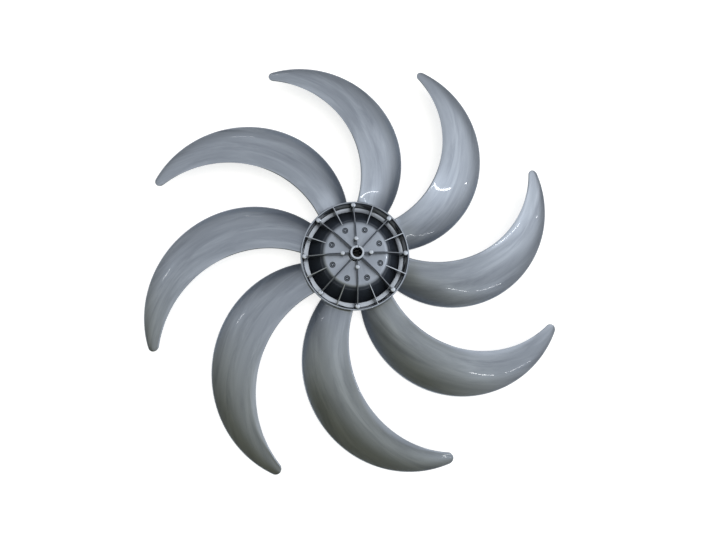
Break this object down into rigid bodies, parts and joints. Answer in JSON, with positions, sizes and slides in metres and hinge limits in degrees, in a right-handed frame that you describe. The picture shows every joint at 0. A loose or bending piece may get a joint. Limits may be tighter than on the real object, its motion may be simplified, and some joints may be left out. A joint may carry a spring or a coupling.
{
  "type": "pedestal fan blade",
  "caption": "Fan blade moulded in one piece, with swept sickle-shaped blades round a ribbed hub that slides onto a motor shaft and is held by a nut in its front recess.",
  "frame": {"origin": "centre of the hub's front ring, on the face that the part rests on when it lies front down", "axes": "+Z along the shaft axis towards the rear, where the motor is; +X along one of the long hub ribs"},
  "size_m": [0.354, 0.354, 0.0395],
  "materials": {
    "plastic": "glossy silver grey"
  },
  "bodies": {
    "root": {"fan_blade": "plastic"}
  },
  "joints": []
}
